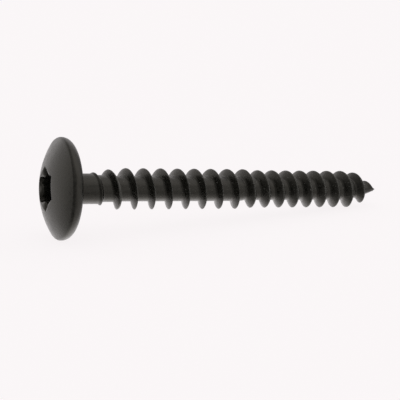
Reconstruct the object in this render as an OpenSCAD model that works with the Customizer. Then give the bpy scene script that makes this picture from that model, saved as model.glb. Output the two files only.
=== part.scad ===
// Hinge screw: a wide low domed head with a six-lobe recess, a short plain neck,
// a coarse wood thread in two pitches and a sharp point. It is one cold-formed piece.
// Sizes are in millimetres. The screw lies as it comes to rest: the rim of the head
// and one thread crest touch z = 0, the point is toward +X, and its box is centred
// on x and y. Inside the modules the axis is z, with the bearing face at 0, the dome
// below it and the point above.

/* [Head] */
// Diameter of the head
head_d = 17; // [13:0.1:24]
// Height of the dome above the bearing face
head_h = 4.5; // [3.7:0.1:7]
// Rounding of the rim on the dome side
rim_top_r = 0.7; // [0.3:0.05:1.4]
// Rounding of the rim on the bearing side
rim_low_r = 1.5; // [0.5:0.05:2.2]

/* [Drive recess] */
// Size across opposite lobes
drive_points = 6.75; // [5.6:0.05:8.2]
// Size across opposite waists
drive_waists = 4.85; // [4.4:0.05:5.4]
// Radius of a lobe
drive_lobe_r = 0.53; // [0.4:0.01:0.7]
// Depth of the walls, from the top of the dome
drive_depth = 3.3; // [1.5:0.1:4]
// Depth of the cone at the bottom
drive_cone_h = 0.8; // [0.3:0.1:1.2]
// Depth of the bevelled mouth, from the top of the dome
drive_mouth_h = 0.8; // [0.5:0.05:1.2]

/* [Neck] */
// Diameter of the plain neck
neck_d = 5.1; // [3.8:0.1:6.4]
// Fillet between the neck and the bearing face
neck_fillet = 0.8; // [0.2:0.1:1.5]
// Length of the plain neck
neck_l = 3.6; // [2:0.1:5]

/* [Thread] */
// Length from the bearing face to the point
length = 60; // [40:1:110]
// Diameter over the thread by the head
thread_d = 7; // [5.6:0.1:9]
// Diameter over the thread by the point
thread_low_d = 6.7; // [5.2:0.1:9]
// Core diameter by the head
core_d = 4.25; // [3:0.05:5.2]
// Core diameter by the point
core_low_d = 3.95; // [2.5:0.05:5]
// Pitch by the head
pitch = 3.17; // [2.2:0.01:4.2]
// Pitch by the point
pitch_low = 2.87; // [2.2:0.01:4]
// Place of the crest that starts turn 0
thread_start = 2.73; // [2:0.01:6]
// Turns made at the first pitch
turns_high = 9.44; // [5:0.01:14]
// Turns over which the ridge grows out of the neck
turns_grow = 3.1; // [1:0.1:4]
// Width of the flat on a crest by the head
crest_w = 0.06; // [0.04:0.01:0.4]
// Width of the flat on a crest by the point
crest_low_w = 0.1; // [0.05:0.01:0.5]
// Width of the flank that faces the point, by the head
lead_w = 0.7; // [0.3:0.01:1.2]
// Width of the flank that faces the head, by the head
trail_w = 0.48; // [0.3:0.01:1.2]
// Width of the flank that faces the point, by the point
lead_low_w = 1.4; // [0.3:0.01:1.8]
// Width of the flank that faces the head, by the point
trail_low_w = 0.55; // [0.3:0.01:1.4]

/* [Point] */
// Length over which the core narrows to the point
point_l = 6; // [3:0.1:12]
// Fullness of the point, where 1 is a straight cone
point_power = 0.69; // [0.5:0.01:1]
// Turns over which the ridge dies out on the point
turns_fade = 2.25; // [1:0.05:3]

/* [Resting place] */
// Turn of the thread about the axis, in degrees
clock = 74.4; // [0:0.1:360]
// Turn of the recess ahead of the thread, in degrees
drive_turn = 31.6; // [0:0.1:60]

/* [Detail] */
// Facets in one turn of the thread
steps = 36; // [18:1:40]

/* [Hidden] */
$fn = 96;
overlap = 0.02;
head_r = head_d / 2;
neck_r = neck_d / 2;

// Where two curves meet almost as tangents, one bites this far into the other, so that
// the two always cross.
bite = 0.004;

// The dome is one large arc that runs into the rim rounding without a corner.
dome_rise = head_h - rim_low_r;
rim_mid = head_r - rim_top_r;
rim_less = rim_top_r - bite;
dome_r = (dome_rise ^ 2 + rim_mid ^ 2 - rim_less ^ 2) / (2 * (dome_rise - rim_less));
dome_end = rim_mid * dome_r / (dome_r - rim_less);

// Lobe circles and waist circles take turns round the recess.
lobe_at = drive_points / 2 - drive_lobe_r;
waist_in = drive_waists / 2;
lobe_less = drive_lobe_r - bite;
waist_r = (lobe_at ^ 2 + waist_in ^ 2 - 2 * lobe_at * waist_in * cos(30) - lobe_less ^ 2)
    / (2 * (lobe_less - waist_in + lobe_at * cos(30)));
waist_at = waist_in + waist_r;
to_waist = [waist_at * cos(30) - lobe_at, waist_at * sin(30)];
mouth_clear = 0.2;
cone_step = 0.1;
cone_end_r = 0.3;

// Everything about the thread follows n, the turns made from thread_start.
// A share of 0 is the thread by the head, and 1 the thread by the point.
change_turns = 0.6;
pitch_change = 0.25;
core_blend_l = 1.2;
grow_from = -0.9;
fade_power = 1.8;
point_cut = 0.2;
shank_in = 0.8;
ridges_fill = 0.97;

function ease(x) = let (t = min(max(x, 0), 1)) t * t * (3 - 2 * t);
function mix(a, b, share) = a * (1 - share) + b * share;
function share(n) = ease((n - turns_high) / change_turns + 0.5);
function crest_z(n) = thread_start + pitch * n
    - (pitch - pitch_low) * pitch_change * ln(1 + exp((n - turns_high) / pitch_change));

// Where ridges stand closer than their own width, all their widths shrink to fit.
function ridge_w(n) = mix(crest_w + lead_w + trail_w, crest_low_w + lead_low_w + trail_low_w, share(n));
function fit(n) = min(1, ridges_fill * mix(pitch, pitch_low, share(n)) / ridge_w(n));
function crest_half(n) = fit(n) * mix(crest_w, crest_low_w, share(n)) / 2;
function lead(n) = fit(n) * mix(lead_w, lead_low_w, share(n));
function trail(n) = fit(n) * mix(trail_w, trail_low_w, share(n));
function foot_z(n) = crest_z(n) - crest_half(n) - trail(n);

// The turn whose foot is at z, found by halving.
function turn_at(z, low = -4, high = 60, tries = 36) = let (mid = (low + high) / 2)
    tries == 0 ? mid
    : foot_z(mid) < z ? turn_at(z, mid, high, tries - 1)
    : turn_at(z, low, mid, tries - 1);

first_turn = turn_at(neck_l - shank_in) - 1;
last_turn = turn_at(length - point_cut);
facets = floor((last_turn - first_turn) * steps);
start_z = foot_z(first_turn + 1);
cut_z = foot_z(first_turn + facets / steps);
fade_end = last_turn - (crest_low_w / 2 + trail_low_w) / pitch_low;

function taper(z) = min(max((length - z) / point_l, 0), 1) ^ point_power;
function core_full(n) = mix(core_d, core_low_d, share(n)) / 2;
function core_r(z, n) = taper(z) * mix(neck_r - overlap, core_full(n), ease((z - neck_l) / core_blend_l));
function grown(n) = ease((n - grow_from) / turns_grow);
function faded(n) = min(max((n - fade_end) / turns_fade + 1, 0), 1) ^ fade_power;
function ridge_h(n) = (mix(thread_d, thread_low_d, share(n)) / 2 - core_full(n))
    * grown(n) * (1 - faded(n));
function crest_r(n) = core_full(n) * taper(crest_z(n)) + ridge_h(n);

// How much of the ridge stands at a distance along the axis from its crest.
function flank(away, n) = let (past = abs(away) - crest_half(n))
    min(max(1 - past / (away > 0 ? lead(n) : trail(n)), 0), 1);
function shank_r(z, n) = let (core = core_r(z, n))
    core + max(crest_r(n) - core, 0) * flank(z - crest_z(n), n);

// The tilt at which the rim and the crest at turn n both touch the floor.
function rest_tilt(n) = let (
        drop = head_r - rim_low_r - crest_r(n),
        reach = crest_z(n) + crest_half(n) + rim_low_r)
    acos(-rim_low_r / norm([drop, reach])) - atan2(reach, drop);
low_crests = [for (k = [floor(last_turn) - 6 : floor(last_turn) + 1]) k - clock / 360];
tilt = min([for (n = low_crests) rest_tilt(n)]);
axis_h = rim_low_r * (1 - sin(tilt)) + (head_r - rim_low_r) * cos(tilt);

// The box runs from the lower edge of the recess to the point.
mouth_r = waist_in + drive_mouth_h - waist_in ^ 2 / dome_r / 2;
box_start = (mouth_r ^ 2 / dome_r / 2 - head_h) * cos(tilt) - mouth_r * sin(tilt);
box_mid = (box_start + length * cos(tilt)) / 2;

hinge_screw();

module hinge_screw() {
    color([0.13, 0.13, 0.14])
    translate([-box_mid, 0, axis_h])
    rotate([0, 90 + tilt, 0])
    rotate(clock)
    union() {
        difference() {
            rotate_extrude() head_profile();
            translate([0, 0, -head_h]) rotate(drive_turn) recess();
        }
        threaded_shank();
    }
}

// Half section of the head and neck.
module head_profile() {
    // dome
    intersection() {
        translate([0, dome_r - head_h]) circle(dome_r);
        translate([0, -2 * head_h]) square([dome_end, 2 * head_h - rim_low_r]);
    }
    // rim, dome side
    translate([rim_mid, -rim_low_r]) intersection() {
        circle(rim_top_r);
        translate([-head_r, -head_r]) square([head_d, head_r]);
    }
    // rim, bearing side
    translate([head_r - rim_low_r, -rim_low_r]) intersection() {
        circle(rim_low_r);
        square(head_r);
    }
    translate([0, -rim_low_r]) square([head_r - rim_low_r, rim_low_r]);
    // fillet and neck
    translate([0, -bite]) difference() {
        translate([0, -overlap]) square([neck_r + neck_fillet - bite, neck_fillet + overlap]);
        translate([neck_r + neck_fillet - bite, neck_fillet]) circle(neck_fillet);
    }
    square([neck_r, neck_l]);
}

// The recess goes up from the top of the dome at 0: bevelled mouth, walls, cone.
module recess() {
    translate([0, 0, -mouth_clear]) mouth(drive_mouth_h + mouth_clear);
    translate([0, 0, drive_mouth_h]) linear_extrude(drive_depth - drive_mouth_h) star();
    translate([0, 0, drive_depth - overlap])
    cylinder(r1 = waist_in - cone_step, r2 = cone_end_r, h = drive_cone_h + overlap);
}

// Corner k of the twelve-sided middle, where a lobe and a waist meet.
function corner(k, open = 0) = let (
        meet = [lobe_at, 0] + to_waist / norm(to_waist) * (drive_lobe_r - bite / 2 + open),
        side = k % 2 == 0 ? -1 : 1,
        turn = 60 * floor(k / 2))
    [meet[0] * cos(turn) - side * meet[1] * sin(turn), meet[0] * sin(turn) + side * meet[1] * cos(turn)];

module star() {
    difference() {
        union() {
            polygon([for (k = [0 : 11]) corner(k)]);
            for (turn = [0 : 60 : 300]) rotate(turn) translate([lobe_at, 0]) circle(drive_lobe_r);
        }
        for (turn = [30 : 60 : 330]) rotate(turn) translate([waist_at, 0]) circle(waist_r);
    }
}

// The star again, but opened out at 45 degrees towards its lower end.
module mouth(h) {
    low_ring = [for (k = [0 : 11]) concat(corner(k, h), 0)];
    high_ring = [for (k = [0 : 11]) concat(corner(k), h)];
    sides = [for (k = [0 : 11]) [k, k + 12, (k + 1) % 12 + 12, (k + 1) % 12]];
    difference() {
        union() {
            polyhedron(
                points = concat(low_ring, high_ring),
                faces = concat([[for (k = [0 : 11]) k]], [[for (k = [23 : -1 : 12]) k]], sides));
            for (turn = [0 : 60 : 300]) rotate(turn) translate([lobe_at, 0, 0])
                cylinder(r1 = drive_lobe_r + h, r2 = drive_lobe_r, h = h);
        }
        for (turn = [30 : 60 : 330]) rotate(turn) translate([waist_at, 0, 0])
            cylinder(r1 = waist_r - h, r2 = waist_r, h = h);
    }
}

// Core and ridge are one skin that winds round the axis. At each step it has a row of
// five points: foot, two edges of the crest, foot again, and the foot of the next turn.
// The last of them is the first point one turn later. The first and last turns are
// wedges, so that the skin starts and ends square to the axis.
module threaded_shank() {
    turn = function (i) first_turn + i / steps;
    point = function (z, i) let (r = shank_r(z, turn(i)))
        [r * cos(360 * turn(i)), r * sin(360 * turn(i)), z];

    row = function (i) let (
            n = turn(i),
            foot = foot_z(n),
            next = foot_z(n + 1),
            low = max(foot, start_z),
            high = min(next, cut_z),
            crest = crest_z(n),
            half = crest_half(n))
        [for (z = [foot, crest - half, crest + half, crest + half + lead(n)])
            point(low + (high - low) * (z - foot) / (next - foot), i)];

    skin_points = [for (i = [1 : facets - 1]) each row(i)];
    end_point = len(skin_points);
    end_ring = [for (i = [facets - steps + 1 : facets - 1]) point(cut_z, i)];
    tip = end_point + steps;

    // Number of a point: step i, place k in its row.
    foot_number = function (i) i == 0 ? 4 * (steps - 1) : i == facets ? end_point : 4 * (i - 1);
    ring_number = function (i) i == facets ? end_point : end_point + i - (facets - steps);
    number = function (i, k)
        k == 4 ? (i + steps <= facets ? foot_number(i + steps) : ring_number(i))
        : i == 0 || i == facets ? foot_number(i)
        : foot_number(i) + k;

    skin = [for (i = [0 : facets - 1]) for (k = [0 : 3]) each [
        if (i > 0) [number(i, k), number(i, k + 1), number(i + 1, k)],
        if (i < facets - 1) [number(i, k + 1), number(i + 1, k + 1), number(i + 1, k)]]];
    start_cap = [for (i = [1 : steps]) foot_number(i)];
    tip_cone = [for (i = [facets - steps : facets - 1]) [number(i, 4), tip, number(i + 1, 4)]];

    polyhedron(
        points = concat(skin_points, [point(cut_z, facets)], end_ring, [[0, 0, length]]),
        faces = concat(skin, [start_cap], tip_cone));
}
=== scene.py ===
import math
import bmesh
import bpy
import numpy as np
from mathutils import Matrix, Vector


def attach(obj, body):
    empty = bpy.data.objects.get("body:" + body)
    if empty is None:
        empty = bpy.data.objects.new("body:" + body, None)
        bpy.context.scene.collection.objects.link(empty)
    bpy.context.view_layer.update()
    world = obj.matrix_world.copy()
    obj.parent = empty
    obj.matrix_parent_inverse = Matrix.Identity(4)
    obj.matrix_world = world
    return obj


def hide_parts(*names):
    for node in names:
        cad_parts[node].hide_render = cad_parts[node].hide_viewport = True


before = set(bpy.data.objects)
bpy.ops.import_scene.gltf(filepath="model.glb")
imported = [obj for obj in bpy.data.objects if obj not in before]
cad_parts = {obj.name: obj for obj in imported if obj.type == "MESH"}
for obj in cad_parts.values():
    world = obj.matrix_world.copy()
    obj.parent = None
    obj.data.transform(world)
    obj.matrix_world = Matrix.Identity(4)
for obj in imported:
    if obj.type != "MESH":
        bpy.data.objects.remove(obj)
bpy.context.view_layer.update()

# Black hinge screw, lying on its side. Sizes are in millimetres until the mesh is placed.
# In the screw's own axes z is the axis: bearing face at 0, dome below it, point above.
mm = 0.001

place = {
    "tilt": 5.33653,        # dip of the axis toward the point, in degrees
    "axisHeight": 8.33015,  # of the axis at the bearing face
    "middle": 27.6406,      # from the bearing face to the middle of the box
    "clock": 74.4,          # turn of the thread about the axis, in degrees
}


class Wire:
    # a number on its way through a node tree, so that a rule can be written as a sum
    def __init__(self, tree, socket):
        self.tree = tree
        self.socket = socket

    def __add__(self, other):
        return calc(self.tree, "ADD", self, other)

    def __radd__(self, other):
        return calc(self.tree, "ADD", other, self)

    def __sub__(self, other):
        return calc(self.tree, "SUBTRACT", self, other)

    def __rsub__(self, other):
        return calc(self.tree, "SUBTRACT", other, self)

    def __mul__(self, other):
        return calc(self.tree, "MULTIPLY", self, other)

    def __rmul__(self, other):
        return calc(self.tree, "MULTIPLY", other, self)

    def __truediv__(self, other):
        return calc(self.tree, "DIVIDE", self, other)

    def __pow__(self, other):
        return calc(self.tree, "POWER", self, other)


def plug(tree, slot, value):
    if isinstance(value, Wire):
        value = value.socket
    if isinstance(value, bpy.types.NodeSocket):
        tree.links.new(value, slot)
    else:
        slot.default_value = value


def calc(tree, operation, *values):
    node = tree.nodes.new("ShaderNodeMath")
    node.operation = operation
    for slot, value in zip(node.inputs, values):
        plug(tree, slot, value)
    return Wire(tree, node.outputs[0])


def addNode(tree, kind, **settings):
    # names in settings that the node has as inputs are plugged in, the others are set on it
    node = tree.nodes.new(kind)
    for name, value in settings.items():
        if hasattr(node, name):
            setattr(node, name, value)
        else:
            plug(tree, node.inputs[name.replace("_", " ")], value)
    return node


# The thread is a rule that Geometry Nodes follow. Turns are counted from the first ridge, and
# "low" marks a value by the point where the other is the one by the head.
thread = {
    "Columns in a turn": 216,
    "Flank rows": 6,
    "Core rows": 4,
    "First turn": -0.817035,
    "Last turn": 19.099632,
    "Length": 60.0,
    "Neck diameter": 5.1,
    "Core turns": 0.35,     # the neck drops to the core mostly at the first ridge
    "Core early": 0.68,     # the part of the drop that comes there
    "Core rest": 1.8,       # turns that the whole drop takes
    "Core pass": 0.3,       # width of the step from one turn's core to the next
    "Thread diameter": 7.0,
    "Thread diameter low": 6.7,
    "Core diameter": 4.25,
    "Core diameter low": 3.95,
    "Pitch": 3.17,
    "Pitch low": 2.87,
    "Pitch change": 0.25,   # turns over which the pitch changes
    "Thread start": 2.73,   # from the bearing face to the crest at turn 0
    "Turns high": 9.44,     # where the thread by the head gives way to the one by the point
    "Change turns": 0.6,
    "Crest": 0.06,
    "Crest low": 0.06,
    "Lead": 0.34,           # width of the flank toward the point
    "Lead low": 0.85,
    "Trail": 0.6,           # and of the flank toward the head
    "Trail low": 1.0,
    "Trail start": 0.35,    # where the first ridge leaves the neck
    "Ridges fill": 0.97,    # most of the pitch that a ridge may take up
    "Start from": -0.12,    # the first ridge stands up at once to a part of its height
    "Start turns": 0.4,
    "Start height": 0.45,
    "Start shift": 0.6,     # and stands further from the head than the rule says
    "Shift turns": 1.3,
    "Grow from": 0.6,
    "Grow turns": 1.1,
    "Point length": 6.0,
    "Point power": 0.74,
    "Fade end": 18.58,      # turn at which the ridge has gone
    "Fade turns": 1.3,
    "Fade power": 2.2,
    "Row spread": 1.5,      # above 1, rows stand closer at the crest
    "Trail fullness": 0.1,  # how far the flank toward the head bulges
    "Trail fullness low": 0.0,
    "Lead fullness": 0.35,  # and the flank toward the point
    "Lead fullness low": 0.6,
    "Lap turn": 1.57,       # where rolling left a doubled crest
    "Lap turns": 0.26,
    "Lap width": 0.15,
    "Lap depth": 0.14,
    "Lap foot": 0.01,       # keeps the groove's share defined where a crest has no width
    "Waver": 0.03,          # unevenness of the crest
    "Waver size": 1.6,
    "Grain": 0.012,         # unevenness of the whole skin
    "Grain size": 0.55,
    "Noise detail": 2.0,
    "Seed": 4.0,
    "Rolled from": 0.2,     # turn at which the drawn neck becomes rolled thread
    "Weld": 0.0003,
}


def makeThreadTree():
    tree = bpy.data.node_groups.new("threadRule", "GeometryNodeTree")
    tree.interface.new_socket("Geometry", in_out="OUTPUT", socket_type="NodeSocketGeometry")
    for name, value in thread.items():
        kind = "NodeSocketInt" if isinstance(value, int) else "NodeSocketFloat"
        tree.interface.new_socket(name, in_out="INPUT", socket_type=kind)
    tree.interface.new_socket("Material", in_out="INPUT", socket_type="NodeSocketMaterial")
    inputs = tree.nodes.new("NodeGroupInput").outputs

    def size(name):
        return Wire(tree, inputs[name])

    def low(a, b):
        return calc(tree, "MINIMUM", a, b)

    def high(a, b):
        return calc(tree, "MAXIMUM", a, b)

    def limit(value, least=0.0, most=1.0):
        return high(low(value, most), least)

    def ease(value):
        x = limit(value)
        return x * x * (3.0 - 2.0 * x)

    def mix(a, b, part):
        return a + (b - a) * part

    # part of the way from the thread by the head to the thread by the point
    def share(n):
        return ease((n - size("Turns high")) / size("Change turns") + 0.5)

    def grow(n):
        return ease((n - size("Grow from")) / size("Grow turns"))

    # where ridge n stands along the axis, and how wide it is
    def ridge(n):
        part = share(n)
        bend = calc(tree, "EXPONENT", (n - size("Turns high")) / size("Pitch change")) + 1.0
        crest = (size("Thread start") + size("Pitch") * n - (size("Pitch") - size("Pitch low"))
                 * size("Pitch change") * calc(tree, "LOGARITHM", bend, math.e))
        crest = crest + size("Start shift") * (1.0 - ease(n / size("Shift turns")))
        width = mix(size("Crest"), size("Crest low"), part)
        lead = mix(size("Lead"), size("Lead low"), part)
        trail = mix(size("Trail start"), mix(size("Trail"), size("Trail low"), part), grow(n))
        room = mix(size("Pitch"), size("Pitch low"), part)
        fit = low(size("Ridges fill") * room / (width + lead + trail), 1.0)
        lap = ease(1.0 - calc(tree, "ABSOLUTE", n - size("Lap turn")) / size("Lap turns"))
        wide = lap * size("Lap width")
        half = width * fit * 0.5 + wide
        return {"crest": crest + wide, "half": half, "lead": lead * fit, "trail": trail * fit,
                "foot": crest + wide - half - trail * fit, "lap": lap}

    steps = size("Columns in a turn")
    flankRows = size("Flank rows")
    columns = calc(tree, "ROUND", (size("Last turn") - size("First turn")) * steps)
    rows = flankRows * 2.0 + size("Core rows")
    grid = addNode(tree, "GeometryNodeMeshGrid", Size_X=columns, Size_Y=rows,
                   Vertices_X=columns + 1.0, Vertices_Y=rows + 1.0)
    position = addNode(tree, "GeometryNodeInputPosition")
    flat = addNode(tree, "ShaderNodeSeparateXYZ", Vector=position.outputs[0])
    column = calc(tree, "ROUND", Wire(tree, flat.outputs["X"]) + columns * 0.5)
    row = calc(tree, "ROUND", Wire(tree, flat.outputs["Y"]) + rows * 0.5)

    turn = size("First turn") + column / steps
    here = ridge(turn)
    nextFoot = ridge(turn + 1.0)["foot"]
    startZ = ridge(size("First turn") + 1.0)["foot"]
    cutZ = ridge(size("First turn") + columns / steps)["foot"]

    # a row's place along the axis: over one flank, the crest and the other flank, then the core
    side = limit(row / flankRows - 1.0, -1.0)
    rise = limit(side) ** size("Row spread") * here["lead"]
    fall = limit(0.0 - side) ** size("Row spread") * here["trail"]
    toe = here["crest"] + here["half"] + here["lead"]
    along = ease((row - flankRows * 2.0) / size("Core rows"))
    free = (here["crest"] + rise - fall + limit(side * flankRows, -1.0) * here["half"]
            + (nextFoot - toe) * along)
    bottom = high(here["foot"], startZ)
    top = low(nextFoot, cutZ)
    z = bottom + (top - bottom) * (free - here["foot"]) / (nextFoot - here["foot"])

    # how much of the ridge stands there
    gap = z - here["crest"]
    flank = mix(here["trail"], here["lead"], calc(tree, "GREATER_THAN", gap, 0.0))
    past = calc(tree, "ABSOLUTE", gap) - here["half"]
    away = limit(past / flank)
    line = 1.0 - away
    leadFull = mix(size("Lead fullness"), size("Lead fullness low"), share(turn))
    trailFull = mix(size("Trail fullness"), size("Trail fullness low"), share(turn))
    bulge = mix(trailFull, leadFull, calc(tree, "GREATER_THAN", gap, 0.0))
    stand = mix(line, 1.0 - away * away, bulge)

    # core, and the ridge on it
    def taper(height):
        return limit((size("Length") - height) / size("Point length")) ** size("Point power")

    def coreR(n):
        return mix(size("Core diameter"), size("Core diameter low"), share(n)) * 0.5

    # before a ridge the core is the one of the turn before, after it the one of this turn
    passed = ease(gap / (here["half"] * 2.0 + size("Core pass")) + 0.5)
    since = turn - 1.0 + passed
    dropped = mix(ease(since / size("Core rest")), ease(since / size("Core turns")),
                  size("Core early"))
    core = taper(z) * mix(size("Neck diameter") * 0.5, coreR(turn + along), dropped)
    coreFull = coreR(turn)
    started = ease((turn - size("Start from")) / size("Start turns")) * size("Start height")
    grown = started + grow(turn) * (1.0 - size("Start height"))
    faded = limit((turn - size("Fade end")) / size("Fade turns") + 1.0) ** size("Fade power")
    threadR = mix(size("Thread diameter"), size("Thread diameter low"), share(turn)) * 0.5
    ridgeH = (threadR - coreFull) * grown * (1.0 - faded)
    crestR = coreFull * taper(here["crest"]) + ridgeH
    smoothR = core + high(crestR - core, 0.0) * stand

    # unevenness from rolling and coating
    angle = (turn - calc(tree, "FLOOR", turn)) * (2 * math.pi)
    cosine = calc(tree, "COSINE", angle)
    sine = calc(tree, "SINE", angle)

    def around(radius):
        spot = addNode(tree, "ShaderNodeCombineXYZ", X=radius * cosine, Y=radius * sine, Z=z)
        return spot.outputs[0]

    def noise(width):
        node = addNode(tree, "ShaderNodeTexNoise", noise_dimensions="4D", Vector=around(smoothR),
                       W=size("Seed"), Scale=calc(tree, "DIVIDE", 1.0, width),
                       Detail=size("Noise detail"))
        return (Wire(tree, node.outputs[0]) - 0.5) * 2.0

    onCrest = stand * stand * limit(ridgeH)
    groove = here["lap"] * limit(1.0 - calc(tree, "ABSOLUTE", gap) / (here["half"] + size("Lap foot")))
    nearTip = limit(smoothR)
    radius = (smoothR + noise(size("Waver size")) * size("Waver") * onCrest
              + noise(size("Grain size")) * size("Grain") * nearTip
              - groove * size("Lap depth") * grown)
    # stored while the grid is still flat, because its place gives the row and the column
    marked = addNode(tree, "GeometryNodeStoreNamedAttribute", data_type="FLOAT", domain="POINT",
                     Geometry=grid.outputs["Mesh"], Name="crest", Value=onCrest)
    rolled = addNode(tree, "GeometryNodeStoreNamedAttribute", data_type="FLOAT", domain="POINT",
                     Geometry=marked.outputs[0], Name="rolled",
                     Value=ease(turn - size("Rolled from")))
    bent = addNode(tree, "GeometryNodeSetPosition", Geometry=rolled.outputs[0],
                   Position=around(radius))
    welded = addNode(tree, "GeometryNodeMergeByDistance", Geometry=bent.outputs[0],
                     Distance=size("Weld"))
    smooth = addNode(tree, "GeometryNodeSetShadeSmooth", Geometry=welded.outputs[0])
    real = addNode(tree, "GeometryNodeRealizeInstances", Geometry=smooth.outputs[0])
    coated = addNode(tree, "GeometryNodeSetMaterial", Geometry=real.outputs[0],
                     Material=inputs["Material"])
    output = tree.nodes.new("NodeGroupOutput")
    tree.links.new(coated.outputs[0], output.inputs[0])
    return tree


def makeThread(material):
    holder = bpy.data.objects.new("threadHolder", bpy.data.meshes.new("threadHolder"))
    bpy.context.scene.collection.objects.link(holder)
    modifier = holder.modifiers.new("threadRule", "NODES")
    modifier.node_group = makeThreadTree()
    values = dict(thread, Material=material)
    for item in modifier.node_group.interface.items_tree:
        if item.in_out == "INPUT":
            modifier[item.identifier] = values[item.name]
    ready = holder.evaluated_get(bpy.context.evaluated_depsgraph_get())
    mesh = bpy.data.meshes.new_from_object(ready)
    holder.modifiers.remove(modifier)
    bpy.data.objects.remove(holder)
    print("thread:", len(mesh.vertices), "points")
    return mesh


# Head and neck are rings round the axis, from the bottom of the recess over the dome to the neck.
head = {
    "diameter": 17.0,
    "height": 4.5,
    "rimTopR": 0.7,
    "rimLowR": 1.5,
    "fillet": 1.1,
    "neckEnd": 2.7,
    "roundFrom": 4.6,    # radius past which the rings no longer follow the recess
    "domeRings": 14,
    "rimTopRings": 9,
    "rimLowRings": 15,
    "seatRings": 6,
    "filletRings": 9,
    "neckRings": 8,
}

recess = {
    "turn": 31.6,        # ahead of the thread, in degrees
    "points": 6.75,
    "waists": 4.85,
    "lobeR": 0.53,
    "depth": 3.3,
    "coneDepth": 0.8,
    "coneBulge": 0.15,
    "coneTip": 0.86,     # part of the cone's depth that its middle reaches
    "coneParts": (0.1, 0.2, 0.35, 0.5, 0.65, 0.8, 0.92, 1.0),
    "ledge": 0.1,        # least width of the flat between cone and wall
    "ledgeParts": (0.25, 0.5, 0.75),
    "ledgeEnd": 0.03,
    "cornerSteps": ((0.05, 0.01), (0.01, 0.05)),  # in from the wall, up from the flat
    "wallStart": 0.12,   # above the flat
    "wallRings": 9,
    "mouthFlat": 3.22,   # from the axis to a side of the six-sided mouth
    "mouthCorner": 3.95,  # from the axis, rounds the corners off
    "mouthSharpness": 40,
    "mouthParts": (0.12, 0.3, 0.5, 0.75, 1.0),
    "slopeRings": 9,
    "slopeWaist": 0.42,  # height of the slope below the mouth at a waist
    "slopeLobe": 0.85,   # and at a lobe
    "slopeBend": 0.35,   # 0 is a flat slope, 1 is a round lip
    "draft": 0.04,       # how much narrower the walls are at the flat
}


sixth = math.pi / 3
bite = 0.004  # arcs that meet as tangents are this much smaller, as in the CAD


def fromLobe(angle):
    return (angle + sixth / 2) % sixth - sixth / 2


def starRadius(angle, opened):
    # distance from the axis to the six-lobe outline, opened out all round
    lobeAt = recess["points"] / 2 - recess["lobeR"]
    waistIn = recess["waists"] / 2
    lobeLess = recess["lobeR"] - bite
    reach = lobeAt * math.cos(sixth / 2)
    plainWaistR = ((lobeAt ** 2 + waistIn ** 2 - 2 * reach * waistIn - lobeLess ** 2)
                   / (2 * (lobeLess - waistIn + reach)))
    waistAt = waistIn + plainWaistR
    lobeR = recess["lobeR"] + opened
    waistR = plainWaistR - opened
    near = fromLobe(angle)
    far = sixth / 2 - np.abs(near)
    toWaist = np.array([waistAt * math.cos(sixth / 2) - lobeAt, waistAt * math.sin(sixth / 2)])
    toWaist = toWaist / np.linalg.norm(toWaist)
    meet = np.arctan2(toWaist[1] * lobeR, lobeAt + toWaist[0] * lobeR)
    lobeRise = np.sqrt(np.maximum(lobeR ** 2 - (lobeAt * np.sin(near)) ** 2, 0))
    waistRise = np.sqrt(np.maximum(waistR ** 2 - (waistAt * np.sin(far)) ** 2, 0))
    lobe = lobeAt * np.cos(near) + lobeRise
    waist = waistAt * np.cos(far) - waistRise
    return np.where(np.abs(near) < meet, lobe, waist)


def mouthRadius(angle):
    # distance from the axis to the six-sided mouth, its corners a little rounded
    side = recess["mouthFlat"] / np.cos(sixth / 2 - np.abs(fromLobe(angle)))
    sharpness = recess["mouthSharpness"]
    return (side ** -sharpness + recess["mouthCorner"] ** -sharpness) ** (-1 / sharpness)


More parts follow.
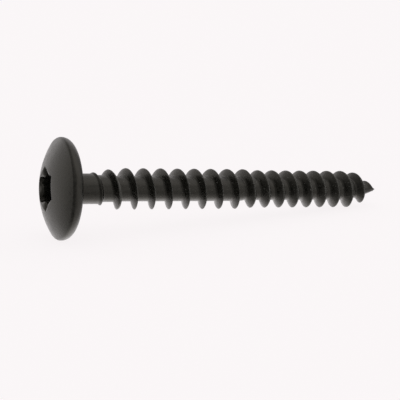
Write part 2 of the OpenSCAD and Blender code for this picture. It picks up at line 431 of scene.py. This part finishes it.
def headRings(angle):
    # rings of (radius, z) from the bottom of the recess, over the dome, to the neck
    top = -head["height"]
    headR = head["diameter"] / 2
    rimMid = headR - head["rimTopR"]
    neckR = thread["Neck diameter"] / 2
    # the dome is one arc that runs into the rim's rounding without a corner
    domeRise = head["height"] - head["rimLowR"]
    rimLess = head["rimTopR"] - bite
    domeR = (domeRise ** 2 + rimMid ** 2 - rimLess ** 2) / (2 * (domeRise - rimLess))

    def domeZ(radius):
        return top + domeR - np.sqrt(domeR ** 2 - radius ** 2)

    one = np.ones_like(angle)
    rings = []

    # bottom of the recess: a cone, the flat round it and the corner
    coneR = recess["waists"] / 2 - recess["ledge"]
    ledgeZ = top + recess["depth"]
    for part in recess["coneParts"]:
        sunk = recess["coneDepth"] * (1 - part) * (1 - recess["coneBulge"] * (1 - part))
        rings.append((one * coneR * part, one * (ledgeZ + sunk)))
    wall = starRadius(angle, -recess["draft"])
    for part in recess["ledgeParts"]:
        rings.append((coneR + (wall - recess["ledgeEnd"] - coneR) * part, one * ledgeZ))
    for inward, upward in recess["cornerSteps"]:
        rings.append((wall - inward, one * (ledgeZ - upward)))

    # its wall, and the slope out to the mouth
    edge = mouthRadius(angle)
    swing = (1 - np.cos(6 * angle)) / 2
    slope = recess["slopeLobe"] + (recess["slopeWaist"] - recess["slopeLobe"]) * swing
    slopeZ = domeZ(edge) + slope
    wallZ = ledgeZ - recess["wallStart"]
    for part in np.linspace(0, 1, recess["wallRings"]):
        draft = recess["draft"] * (1 - part)
        rings.append((starRadius(angle, -draft), wallZ + (slopeZ - wallZ) * part))
    wall = starRadius(angle, 0)
    for part in np.linspace(0, 1, recess["slopeRings"])[1:]:
        bend = part * math.pi / 2
        outward = part + (1 - math.cos(bend) - part) * recess["slopeBend"]
        upward = part + (math.sin(bend) - part) * recess["slopeBend"]
        rings.append((wall + (edge - wall) * outward, slopeZ - slope * upward))

    # dome and rim
    for part in recess["mouthParts"]:
        radius = edge + (head["roundFrom"] - edge) * part
        rings.append((radius, domeZ(radius)))
    domeEnd = rimMid * domeR / (domeR - head["rimTopR"])
    for radius in np.linspace(head["roundFrom"], domeEnd, head["domeRings"])[1:]:
        rings.append((one * radius, one * domeZ(radius)))
    for bend in np.linspace(math.asin(domeEnd / domeR), math.pi / 2, head["rimTopRings"])[1:]:
        rings.append((one * (rimMid + head["rimTopR"] * math.sin(bend)),
                      one * (-head["rimLowR"] - head["rimTopR"] * math.cos(bend))))
    for bend in np.linspace(0, math.pi / 2, head["rimLowRings"])[1:]:
        rings.append((one * (headR + head["rimLowR"] * (math.cos(bend) - 1)),
                      one * head["rimLowR"] * (math.sin(bend) - 1)))

    # bearing face, fillet and neck
    filletAt = neckR + head["fillet"]
    for radius in np.linspace(headR - head["rimLowR"], filletAt, head["seatRings"])[1:]:
        rings.append((one * radius, 0 * one))
    for bend in np.linspace(0, math.pi / 2, head["filletRings"])[1:]:
        rings.append((one * (filletAt - head["fillet"] * math.sin(bend)),
                      one * head["fillet"] * (1 - math.cos(bend))))
    for z in np.linspace(head["fillet"], head["neckEnd"], head["neckRings"])[1:]:
        rings.append((one * neckR, one * z))
    return rings


def makeHead():
    sides = thread["Columns in a turn"]
    angle = np.arange(sides) * 2 * math.pi / sides
    twist = angle + math.radians(recess["turn"])
    coneTip = recess["depth"] + recess["coneDepth"] * recess["coneTip"]
    points = [(0, 0, coneTip - head["height"])]
    rings = headRings(angle)
    for radius, z in rings:
        points += np.column_stack([radius * np.cos(twist), radius * np.sin(twist), z]).tolist()
    faces = [(0, 1 + (k + 1) % sides, 1 + k) for k in range(sides)]
    for ring in range(len(rings) - 1):
        first = 1 + ring * sides
        for k in range(sides):
            after = (k + 1) % sides
            faces.append((first + k, first + after, first + sides + after, first + sides + k))
    mesh = bpy.data.meshes.new("headShape")
    mesh.from_pydata(points, [], faces)
    # the coating asks for these two, and the head has no crest and is not rolled
    for name in ("crest", "rolled"):
        mesh.attributes.new(name, "FLOAT", "POINT")
    mesh.polygons.foreach_set("use_smooth", [True] * len(faces))
    print("head:", len(points), "points")
    return mesh


def makeScrew(material):
    shape = bmesh.new()
    shape.from_mesh(makeThread(material))
    shape.from_mesh(makeHead())
    # the neck runs into the thread, and the thread ends in the sharp point
    halfway = thread["Length"] / 2
    openEdges = [edge for edge in shape.edges if edge.is_boundary]
    tipEdges = [edge for edge in openEdges if edge.verts[0].co.z > halfway]
    neckEdges = [edge for edge in openEdges if edge.verts[0].co.z < halfway]
    bmesh.ops.bridge_loops(shape, edges=neckEdges)
    tip = shape.verts.new((0, 0, thread["Length"]))
    for edge in tipEdges:
        shape.faces.new((edge.verts[0], edge.verts[1], tip)).smooth = True
    bmesh.ops.recalc_face_normals(shape, faces=shape.faces)
    for face in shape.faces:
        face.smooth = True
    lay = (Matrix.Translation((-place["middle"], 0, place["axisHeight"]))
           @ Matrix.Rotation(math.radians(90 + place["tilt"]), 4, "Y")
           @ Matrix.Rotation(math.radians(place["clock"]), 4, "Z"))
    shape.transform(Matrix.Scale(mm, 4) @ lay)
    loose = sum(not edge.is_manifold for edge in shape.edges)
    mesh = bpy.data.meshes.new("hingeScrew")
    shape.to_mesh(mesh)
    shape.free()
    mesh.materials.clear()
    mesh.materials.append(material)
    screw = bpy.data.objects.new("hingeScrew", mesh)
    bpy.context.scene.collection.objects.link(screw)
    triangles = sum(len(face.vertices) - 2 for face in mesh.polygons)
    print("hinge screw:", triangles, "triangles,", loose, "open edges")
    return screw


coating = {
    "dark": (0.006, 0.006, 0.005, 1),
    "light": (0.016, 0.0155, 0.013, 1),
    # lighter colour of the crests: rubbed coating, and also a painted highlight where light catches
    # them
    "wornAndHighlight": (0.12, 0.118, 0.11, 1),
    "specks": (0.30, 0.29, 0.27, 1),
    "shineTint": (1.0, 0.965, 0.85, 1),
    "grainSize": 0.2,
    "blotchSize": 0.42,
    "patchSize": 1.5,
    "noiseDetail": 3.0,
    "mottleParts": (0.2, 0.5, 0.3),  # of grain, blotch and patch
    "mottleSpan": (0.4, 0.6),        # values at which a change begins and ends
    # the next two shape the lighter crests, which are rubbed coating and painted highlight in one
    "wearHighlightGrain": 0.9,                 # how far grain breaks up the worn crests
    "wearHighlightSpan": (0.75, 1.15),
    "speckSpan": (0.70, 0.74),
    "reliefGrain": 0.3,
    "reliefBlotch": 1.5,
    "bump": 0.6,
    "bumpDepth": 0.03,
    "smoothest": 0.2,
    "roughest": 0.36,
    "roughParts": (0.5, 0.5),        # of patch and blotch
    "roughSpan": (0.35, 0.65),
    "refraction": 1.55,
    "headCalm": 0.45,                # part of the unevenness that the drawn head keeps
}


def makeCoating():
    material = bpy.data.materials.new("blackCoating")
    material.use_nodes = True
    tree = material.node_tree
    tree.nodes.clear()
    where = addNode(tree, "ShaderNodeTexCoord").outputs["Object"]

    def noise(width):
        node = addNode(tree, "ShaderNodeTexNoise", Vector=where, Scale=1 / (width * mm),
                       Detail=coating["noiseDetail"])
        return Wire(tree, node.outputs[0])

    def between(value, span):
        node = addNode(tree, "ShaderNodeMapRange", Value=value, From_Min=span[0], From_Max=span[1])
        return Wire(tree, node.outputs[0])

    def stored(name):
        return Wire(tree, addNode(tree, "ShaderNodeAttribute", attribute_name=name).outputs["Fac"])

    def tint(part, below, above):
        node = addNode(tree, "ShaderNodeMix", data_type="RGBA")
        plug(tree, node.inputs[0], part)
        plug(tree, node.inputs[6], below)
        plug(tree, node.inputs[7], above)
        return node.outputs[2]

    grain = noise(coating["grainSize"])
    blotch = noise(coating["blotchSize"])
    patch = noise(coating["patchSize"])
    crest = stored("crest")
    rolled = stored("rolled")

    # colour: mottled black, lighter on the crests as rubbed coating and as a painted highlight, with a
    # few bright specks
    grainPart, blotchPart, patchPart = coating["mottleParts"]
    mottle = between(grain * grainPart + blotch * blotchPart + patch * patchPart,
                     coating["mottleSpan"])
    # crests are lightened both as worn coating and as a painted highlight
    wearAndHighlight = between(crest + (grain - 0.5) * coating["wearHighlightGrain"], coating["wearHighlightSpan"])
    speck = between(grain * rolled, coating["speckSpan"])
    black = tint(mottle, coating["dark"], coating["light"])
    colour = tint(speck, tint(wearAndHighlight, black, coating["wornAndHighlight"]), coating["specks"])

    # relief and roughness
    uneven = coating["headCalm"] + rolled * (1.0 - coating["headCalm"])
    relief = (grain * coating["reliefGrain"] + blotch * coating["reliefBlotch"]) * uneven
    bump = addNode(tree, "ShaderNodeBump", Strength=coating["bump"],
                   Distance=coating["bumpDepth"] * mm, Height=relief)
    patchPart, blotchPart = coating["roughParts"]
    rough = between(patch * patchPart + blotch * blotchPart, coating["roughSpan"])
    roughness = coating["smoothest"] + (coating["roughest"] - coating["smoothest"]) * rough
    shader = addNode(tree, "ShaderNodeBsdfPrincipled", Base_Color=colour, Roughness=roughness,
                     Specular_Tint=coating["shineTint"], IOR=coating["refraction"],
                     Normal=bump.outputs[0])
    output = tree.nodes.new("ShaderNodeOutputMaterial")
    tree.links.new(shader.outputs[0], output.inputs["Surface"])
    return material


camera = {
    "at": (-81.067, -167.835, 47.123),
    "forward": (0.40653, 0.88507, -0.22667),
    "lens": 98.0424,
    "sensor": 36,
    "nearest": 0.01,  # this and the next are in metres
    "farthest": 100,
}

# Plain studio light, made of soft lobes: (bearing, height, strength, cosine at the edge), with the
# angles in degrees and bearings from +X toward +Y. Reflections see most light from behind and
# below, and less from above and in front.
studio = {
    "white": (0.99, 0.955, 0.963, 1),
    "soft": 0.4,
    "softLobes": [(53.13, 59.53, 0.5, -0.3)],
    "shine": 0.01,
    "shineLobes": [(0, -90, 0.1, 0.5),
                   (0, -55, 0.65, 0.5),
                   (72, -55, 1.05, 0.5),
                   (144, -55, 0.26, 0.5),
                   (-144, -55, 0.1, 0.5),
                   (108, -20, 0.07, 0.6),
                   (144, -20, 0.12, 0.6),
                   (-144, -20, 0.02, 0.6),
                   (-72, -20, 0.31, 0.6),
                   (72, 12, 0.74, 0.6),
                   (137.5, 12.13, 0.78, 0.6),
                   (-144, 12, 0.12, 0.6),
                   (-72, 12, 0.07, 0.6),
                   (-36, 12, 0.36, 0.6),
                   (0, 50, 0.48, 0.5),
                   (-120, 50, 0.13, 0.5),
                   (-60, 50, 0.11, 0.5),
                   (0, 90, 0.33, 0.5)],
}

floorSizes = {
    "width": 12000,
    "tone": 0.8,                     # of the floor as it lights the screw
    "pale": (0.9, 0.87, 0.877, 1),   # of the floor that takes the shadow
    "shadow": 0.1,                   # part of the shadow that the camera sees
}


def makeCamera():
    data = bpy.data.cameras.new("camera")
    data.lens = camera["lens"]
    data.sensor_width = camera["sensor"]
    data.clip_start = camera["nearest"]
    data.clip_end = camera["farthest"]
    eye = bpy.data.objects.new("camera", data)
    bpy.context.scene.collection.objects.link(eye)
    eye.rotation_euler = Vector(camera["forward"]).to_track_quat("-Z", "Y").to_euler()
    eye.location = Vector(camera["at"]) * mm
    bpy.context.scene.camera = eye


def rayKinds(tree):
    # camera rays, and rays that reached the place by reflection or refraction
    path = addNode(tree, "ShaderNodeLightPath").outputs
    direct, glossy, clear = [Wire(tree, path[f"Is {kind} Ray"])
                             for kind in ("Camera", "Glossy", "Transmission")]
    return direct, calc(tree, "MAXIMUM", glossy, clear)


def mixShaders(tree, part, below, above):
    node = addNode(tree, "ShaderNodeMixShader", Fac=part)
    tree.links.new(below.outputs[0], node.inputs[1])
    tree.links.new(above.outputs[0], node.inputs[2])
    return node


def lobeSum(tree, towards, least, lobes):
    total = least
    for bearing, height, strength, edge in lobes:
        turned = math.radians(bearing)
        raised = math.radians(height)
        axis = (math.cos(raised) * math.cos(turned), math.cos(raised) * math.sin(turned),
                math.sin(raised))
        dot = addNode(tree, "ShaderNodeVectorMath", operation="DOT_PRODUCT")
        plug(tree, dot.inputs[0], towards)
        plug(tree, dot.inputs[1], axis)
        lobe = addNode(tree, "ShaderNodeMapRange", interpolation_type="SMOOTHSTEP",
                       Value=dot.outputs["Value"], From_Min=edge, To_Max=strength)
        total = total + Wire(tree, lobe.outputs[0])
    return total


def makeSky():
    world = bpy.data.worlds.new("studio")
    bpy.context.scene.world = world
    world.use_nodes = True
    world.cycles.sampling_method = "NONE"
    tree = world.node_tree
    tree.nodes.clear()
    towards = addNode(tree, "ShaderNodeTexCoord").outputs["Generated"]
    direct, mirrored = rayKinds(tree)
    soft = addNode(tree, "ShaderNodeBackground", Color=(1, 1, 1, 1),
                   Strength=lobeSum(tree, towards, studio["soft"], studio["softLobes"]))
    shine = lobeSum(tree, towards, studio["shine"], studio["shineLobes"])
    plain = addNode(tree, "ShaderNodeBackground", Color=studio["white"],
                    Strength=calc(tree, "MAXIMUM", direct, shine))
    both = mixShaders(tree, calc(tree, "MAXIMUM", direct, mirrored), soft, plain)
    output = tree.nodes.new("ShaderNodeOutputWorld")
    tree.links.new(both.outputs[0], output.inputs["Surface"])
    print("studio light is ready")


def makeFloor():
    half = floorSizes["width"] / 2 * mm
    mesh = bpy.data.meshes.new("floor")
    mesh.from_pydata([(-half, -half, 0), (half, -half, 0), (half, half, 0), (-half, half, 0)],
                     [], [(0, 1, 2, 3)])
    floor = bpy.data.objects.new("floor", mesh)
    bpy.context.scene.collection.objects.link(floor)
    material = bpy.data.materials.new("paleFloor")
    material.use_nodes = True
    material.cycles.emission_sampling = "NONE"
    tree = material.node_tree
    tree.nodes.clear()
    # the camera sees the pale floor and the shadow, reflections look through it to the studio
    direct, mirrored = rayKinds(tree)
    tone = floorSizes["tone"]
    plain = addNode(tree, "ShaderNodeBsdfDiffuse", Color=(tone, tone, tone, 1))
    pale = addNode(tree, "ShaderNodeBsdfDiffuse", Color=floorSizes["pale"])
    glow = addNode(tree, "ShaderNodeEmission", Color=studio["white"], Strength=1.0)
    clear = addNode(tree, "ShaderNodeBsdfTransparent")
    lit = mixShaders(tree, floorSizes["shadow"], glow, pale)
    seen = mixShaders(tree, direct, plain, lit)
    both = mixShaders(tree, mirrored, seen, clear)
    output = tree.nodes.new("ShaderNodeOutputMaterial")
    tree.links.new(both.outputs[0], output.inputs["Surface"])
    mesh.materials.append(material)
    print("floor is laid")


makeCamera()
hingeScrew = makeScrew(makeCoating())
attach(hingeScrew, "root")
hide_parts("hinge_screw")
makeSky()
makeFloor()
bpy.context.scene.view_settings.view_transform = "Standard"
